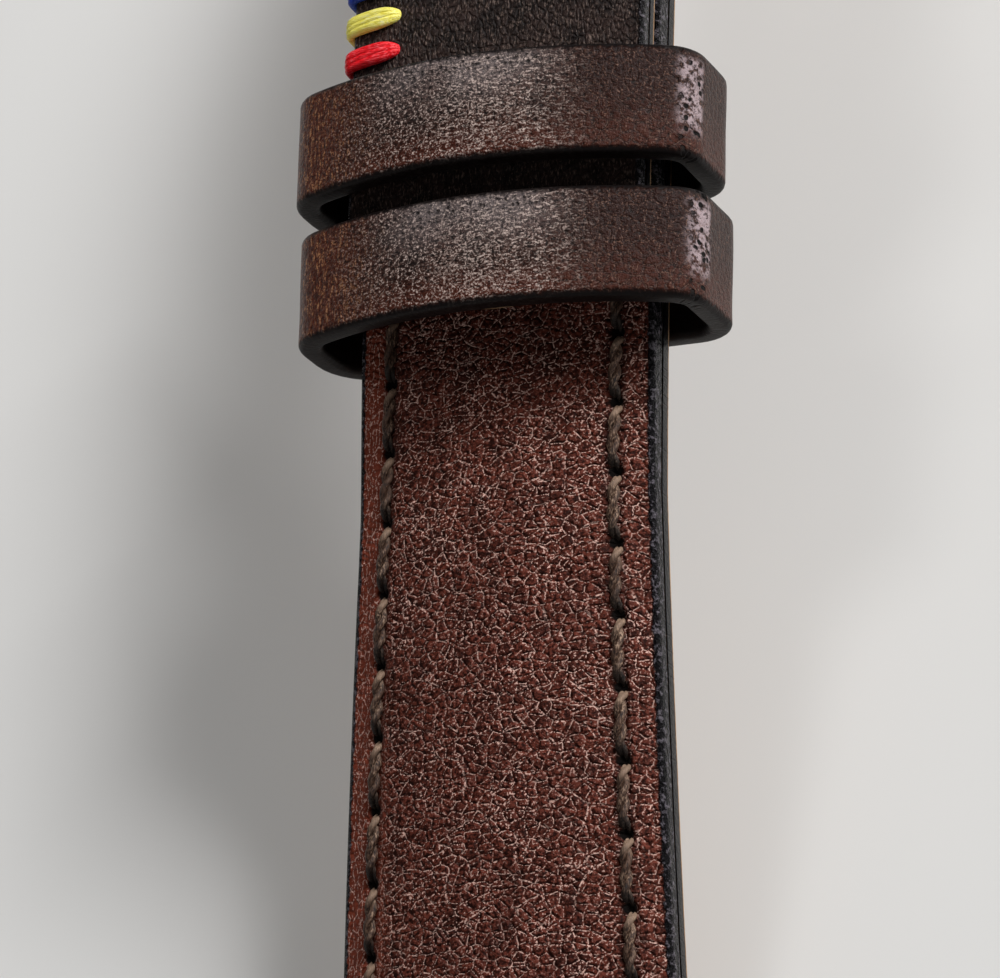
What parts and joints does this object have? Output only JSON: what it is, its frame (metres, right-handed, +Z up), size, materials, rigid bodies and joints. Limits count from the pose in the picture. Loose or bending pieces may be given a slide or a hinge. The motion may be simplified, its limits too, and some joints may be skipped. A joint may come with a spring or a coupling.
{
  "type": "watch strap",
  "caption": "Buckled two-piece leather watch strap with padded stitched face, two keepers, pin buckle and spring bars.",
  "frame": {"origin": "middle of the base, on the level the two lug ends stand on, halfway between the front and back of the whole part", "axes": "+X across the strap to the right as its face is seen, +Y from the short piece at the front to the long piece at the back, +Z up, away from the wrist side"},
  "size_m": [0.0254, 0.1668, 0.0331],
  "materials": {
    "face_leather": "grained, semi-matt",
    "tail_leather": "fine pebbled, semi-matt",
    "keeper_leather": "grained, waxed sheen",
    "lining_leather": "smooth matt",
    "filler": "felted board",
    "strap_thread": "waxed twisted thread",
    "red_thread": "twisted thread",
    "yellow_thread": "twisted thread",
    "blue_thread": "twisted thread",
    "polished_steel": "polished",
    "bar_steel": "turned",
    "spring_steel": "drawn wire"
  },
  "bodies": {
    "strap": {"short_top_leather": "face_leather", "short_filler": "filler", "short_lining": "lining_leather", "short_stitching_left": "strap_thread", "short_stitching_right": "strap_thread", "long_top_leather": "tail_leather", "long_filler": "filler", "long_lining": "lining_leather", "long_stitching_left": "strap_thread", "long_stitching_right": "strap_thread", "fixed_keeper": "keeper_leather", "red_edge_stitch": "red_thread", "yellow_edge_stitch": "yellow_thread", "blue_edge_stitch": "blue_thread", "short_lug_bar_tube": "bar_steel", "short_lug_bar_spring": "spring_steel", "long_lug_bar_tube": "bar_steel", "long_lug_bar_spring": "spring_steel", "buckle_bar_tube": "bar_steel", "buckle_bar_spring": "spring_steel"},
    "free_keeper": {"free_keeper": "keeper_leather"},
    "buckle_frame": {"buckle_frame": "polished_steel"},
    "buckle_tongue": {"buckle_tongue": "polished_steel"},
    "short_lug_pin_left": {"short_lug_bar_pin_left": "bar_steel"},
    "short_lug_pin_right": {"short_lug_bar_pin_right": "bar_steel"},
    "long_lug_pin_left": {"long_lug_bar_pin_left": "bar_steel"},
    "long_lug_pin_right": {"long_lug_bar_pin_right": "bar_steel"},
    "buckle_pin_left": {"buckle_bar_pin_left": "bar_steel"},
    "buckle_pin_right": {"buckle_bar_pin_right": "bar_steel"}
  },
  "joints": [
    {"name": "free_keeper_slide", "type": "slide", "parent": "strap", "child": "free_keeper", "axis": [0, -0.9617, -0.274], "range_m": [-0.0015, 0.012]},
    {"name": "buckle_frame_hinge", "type": "hinge", "parent": "strap", "child": "buckle_frame", "pos_m": [0, -0.01001, 0.02561], "axis": [1, 0, 0], "range_deg": [0, 5]},
    {"name": "buckle_tongue_hinge", "type": "hinge", "parent": "buckle_frame", "child": "buckle_tongue", "pos_m": [0, -0.01001, 0.02561], "axis": [1, 0, 0], "range_deg": [0, 4]},
    {"name": "short_lug_pin_left_slide", "type": "slide", "parent": "strap", "child": "short_lug_pin_left", "axis": [1, 0, 0], "range_m": [0, 0.0012], "stiffness_N_per_m": 200},
    {"name": "short_lug_pin_right_slide", "type": "slide", "parent": "strap", "child": "short_lug_pin_right", "axis": [-1, 0, 0], "range_m": [0, 0.0012], "stiffness_N_per_m": 200},
    {"name": "long_lug_pin_left_slide", "type": "slide", "parent": "strap", "child": "long_lug_pin_left", "axis": [1, 0, 0], "range_m": [0, 0.0012], "stiffness_N_per_m": 200},
    {"name": "long_lug_pin_right_slide", "type": "slide", "parent": "strap", "child": "long_lug_pin_right", "axis": [-1, 0, 0], "range_m": [0, 0.0012], "stiffness_N_per_m": 200},
    {"name": "buckle_pin_left_slide", "type": "slide", "parent": "strap", "child": "buckle_pin_left", "axis": [1, 0, 0], "range_m": [0, 0.0012], "stiffness_N_per_m": 200},
    {"name": "buckle_pin_right_slide", "type": "slide", "parent": "strap", "child": "buckle_pin_right", "axis": [-1, 0, 0], "range_m": [0, 0.0012], "stiffness_N_per_m": 200}
  ]
}
